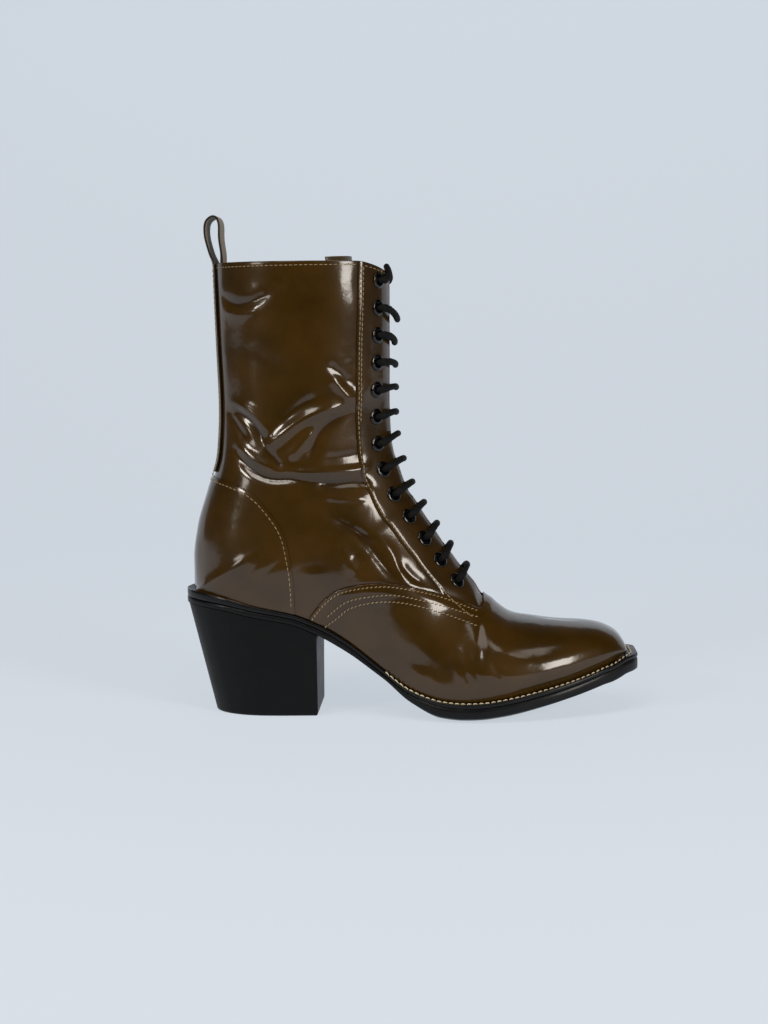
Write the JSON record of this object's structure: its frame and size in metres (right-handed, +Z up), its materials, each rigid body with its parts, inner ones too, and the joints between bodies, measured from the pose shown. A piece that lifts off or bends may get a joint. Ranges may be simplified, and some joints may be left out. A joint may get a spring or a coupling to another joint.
{
  "type": "lace-up ankle boot",
  "caption": "Lace-up ankle boot with a tall shaft, round eyelets, pull loop, stitched welt and block heel.",
  "frame": {"origin": "on the floor, under the middle of the heel block's floor face", "axes": "+Z up, +X from the heel to the toe, +Y to the inner side of this right boot"},
  "size_m": [0.2542, 0.0882, 0.2773],
  "materials": {
    "upper_leather": "coated, high gloss",
    "tongue_leather": "coated, gloss",
    "strap_leather": "coated, gloss",
    "insole_cover": "matt",
    "welt_rubber": "satin",
    "outsole_rubber": "satin",
    "heel_lacquer": "black lacquer, gloss",
    "eyelet_enamel": "gloss black",
    "lace_cord": "waxed round braid"
  },
  "bodies": {
    "root": {"upper": "upper_leather", "counter": "upper_leather", "facing_lateral": "upper_leather", "facing_medial": "upper_leather", "tongue": "tongue_leather", "backstay_loop": "strap_leather", "insole": "insole_cover", "welt": "welt_rubber", "outsole": "outsole_rubber", "heel": "heel_lacquer", "eyelet_lateral_01": "eyelet_enamel", "eyelet_lateral_02": "eyelet_enamel", "eyelet_lateral_03": "eyelet_enamel", "eyelet_lateral_04": "eyelet_enamel", "eyelet_lateral_05": "eyelet_enamel", "eyelet_lateral_06": "eyelet_enamel", "eyelet_lateral_07": "eyelet_enamel", "eyelet_lateral_08": "eyelet_enamel", "eyelet_lateral_09": "eyelet_enamel", "eyelet_lateral_10": "eyelet_enamel", "eyelet_lateral_11": "eyelet_enamel", "eyelet_lateral_12": "eyelet_enamel", "eyelet_lateral_13": "eyelet_enamel", "eyelet_medial_01": "eyelet_enamel", "eyelet_medial_02": "eyelet_enamel", "eyelet_medial_03": "eyelet_enamel", "eyelet_medial_04": "eyelet_enamel", "eyelet_medial_05": "eyelet_enamel", "eyelet_medial_06": "eyelet_enamel", "eyelet_medial_07": "eyelet_enamel", "eyelet_medial_08": "eyelet_enamel", "eyelet_medial_09": "eyelet_enamel", "eyelet_medial_10": "eyelet_enamel", "eyelet_medial_11": "eyelet_enamel", "eyelet_medial_12": "eyelet_enamel", "eyelet_medial_13": "eyelet_enamel", "lace_bar_01": "lace_cord", "lace_bar_02": "lace_cord", "lace_bar_03": "lace_cord", "lace_bar_04": "lace_cord", "lace_bar_05": "lace_cord", "lace_bar_06": "lace_cord", "lace_bar_07": "lace_cord", "lace_bar_08": "lace_cord", "lace_bar_09": "lace_cord", "lace_bar_10": "lace_cord", "lace_bar_11": "lace_cord", "lace_bar_12": "lace_cord", "lace_bar_13": "lace_cord"}
  },
  "joints": []
}
